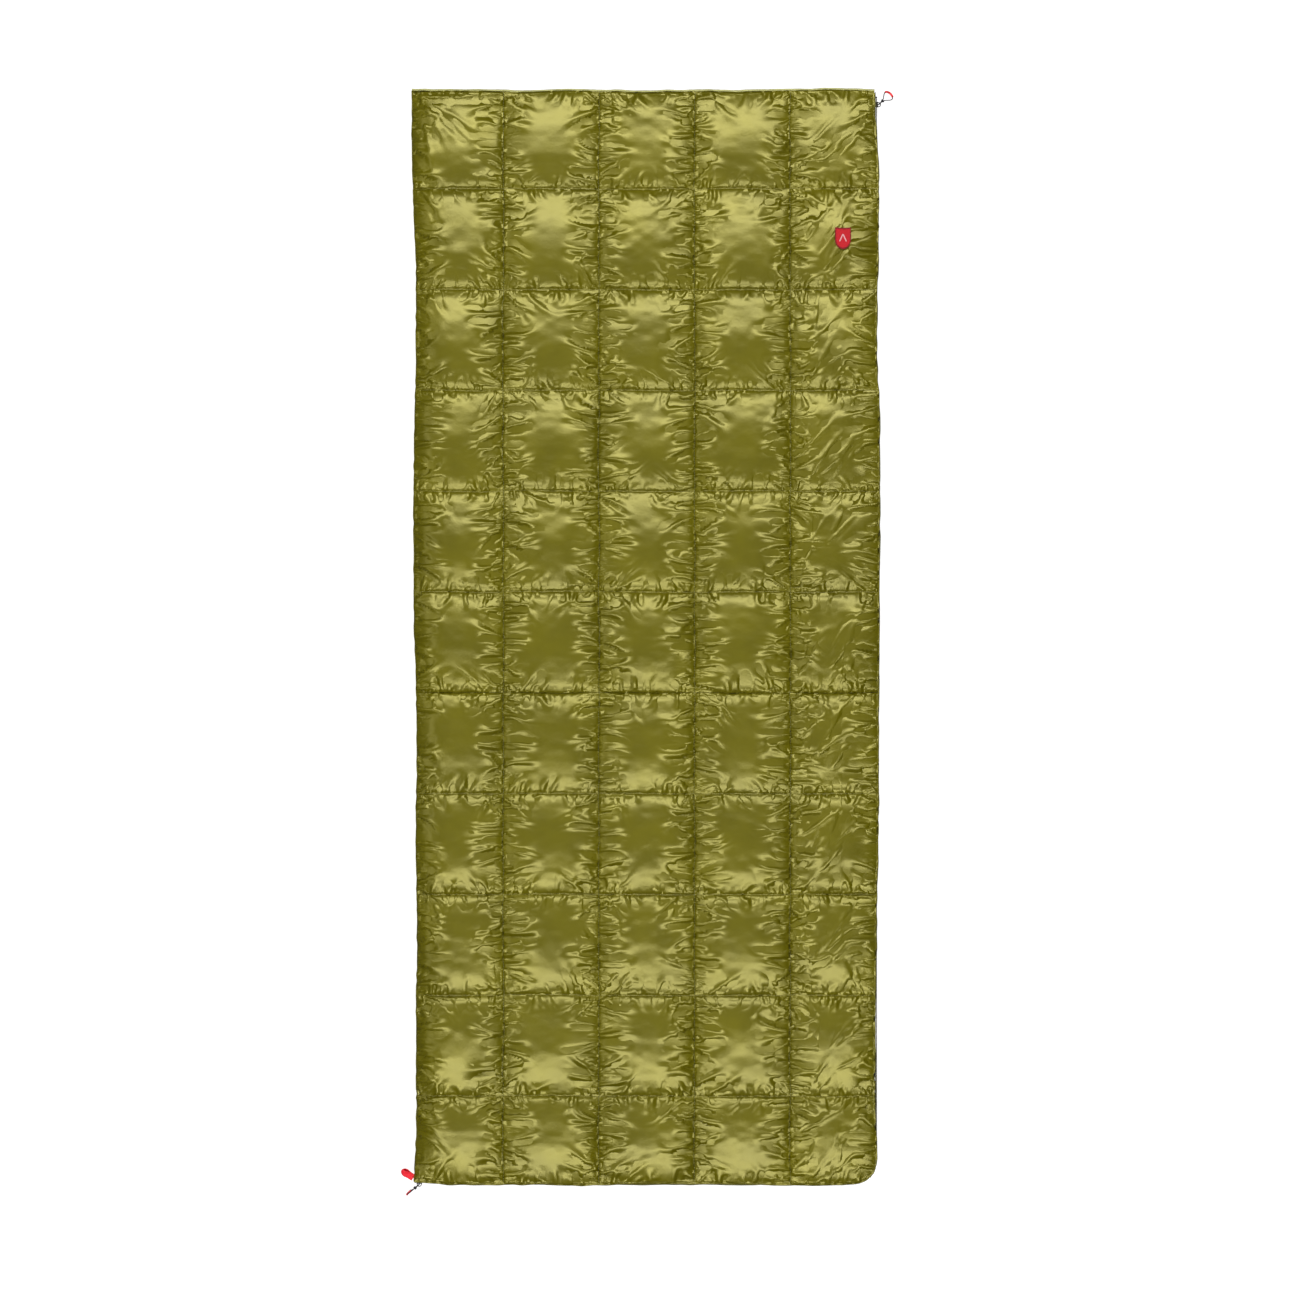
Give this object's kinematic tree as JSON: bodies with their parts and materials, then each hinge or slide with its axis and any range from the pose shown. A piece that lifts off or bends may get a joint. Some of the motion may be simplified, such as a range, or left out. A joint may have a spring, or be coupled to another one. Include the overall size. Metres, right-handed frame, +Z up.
{
  "type": "camp quilt",
  "caption": "Rectangular down camp quilt in glossy olive taffeta, folded in half lengthwise and zipped along one side and the foot.",
  "frame": {"origin": "middle of the underside, on the plane that the folded quilt lies on", "axes": "+Z up, +Y along the length to the open head end, +X across from the fold to the zip"},
  "size_m": [0.8586, 1.9246, 0.0571],
  "materials": {
    "shell_taffeta": "satin",
    "lining_taffeta": "satin",
    "down": "matte",
    "zip_tape": "matte",
    "zip_coil": "satin",
    "slider_metal": "satin",
    "pull_cord": "matte",
    "pull_sleeve": "satin",
    "red_webbing": "satin",
    "badge_red": "matte"
  },
  "bodies": {
    "lower_layer": {"lower_outer_shell": "shell_taffeta", "lower_lining": "lining_taffeta", "lower_down_row_01": "down", "lower_down_row_02": "down", "lower_down_row_03": "down", "lower_down_row_04": "down", "lower_down_row_05": "down", "lower_down_row_06": "down", "lower_down_row_07": "down", "lower_down_row_08": "down", "lower_down_row_09": "down", "lower_down_row_10": "down", "lower_down_row_11": "down", "lower_head_binding": "shell_taffeta", "lower_zip_tape": "zip_tape", "lower_zip_coil": "zip_coil", "lower_head_stop": "slider_metal", "lower_foot_stop": "slider_metal"},
    "upper_layer": {"upper_outer_shell": "shell_taffeta", "upper_lining": "lining_taffeta", "upper_down_row_01": "down", "upper_down_row_02": "down", "upper_down_row_03": "down", "upper_down_row_04": "down", "upper_down_row_05": "down", "upper_down_row_06": "down", "upper_down_row_07": "down", "upper_down_row_08": "down", "upper_down_row_09": "down", "upper_down_row_10": "down", "upper_down_row_11": "down", "upper_head_binding": "shell_taffeta", "upper_zip_tape": "zip_tape", "upper_zip_coil": "zip_coil", "upper_head_stop": "slider_metal", "upper_foot_stop": "slider_metal", "badge": "badge_red"},
    "hang_loop": {"hang_loop": "red_webbing"},
    "top_slider": {"top_slider_body": "slider_metal"},
    "bottom_slider": {"bottom_slider_body": "slider_metal"},
    "top_pull": {"top_pull_hitch": "pull_cord", "top_pull_cord": "pull_cord", "top_pull_sleeve": "pull_sleeve"},
    "bottom_pull": {"bottom_pull_hitch": "pull_cord", "bottom_pull_cord": "pull_cord", "bottom_pull_sleeve": "pull_sleeve"}
  },
  "joints": [
    {"name": "layer_fold", "type": "hinge", "parent": "lower_layer", "child": "upper_layer", "pos_m": [-0.403, 0, 0.028], "axis": [0, -1, 0], "range_deg": [0, 180]},
    {"name": "loop_flop", "type": "hinge", "parent": "lower_layer", "child": "hang_loop", "pos_m": [-0.403, 0, 0.028], "axis": [0, -1, 0], "range_deg": [0, 90]},
    {"name": "top_slider_run", "type": "slide", "parent": "lower_layer", "child": "top_slider", "axis": [0, -1, 0], "range_m": [0, 1.82]},
    {"name": "bottom_slider_run", "type": "slide", "parent": "lower_layer", "child": "bottom_slider", "axis": [1, 0, 0], "range_m": [0, 0.74]},
    {"name": "top_pull_swing", "type": "hinge", "parent": "top_slider", "child": "top_pull", "pos_m": [0.4052, 0.925, 0.028], "axis": [0, 0, 1], "range_deg": [-103, 17]},
    {"name": "bottom_pull_swing", "type": "hinge", "parent": "bottom_slider", "child": "bottom_pull", "pos_m": [-0.3935, -0.9525, 0.028], "axis": [0, 0, 1], "range_deg": [-11, 109]}
  ],
  "couplings": [
    {"joint": "loop_flop", "follows": "layer_fold", "ratio": 0.5}
  ]
}
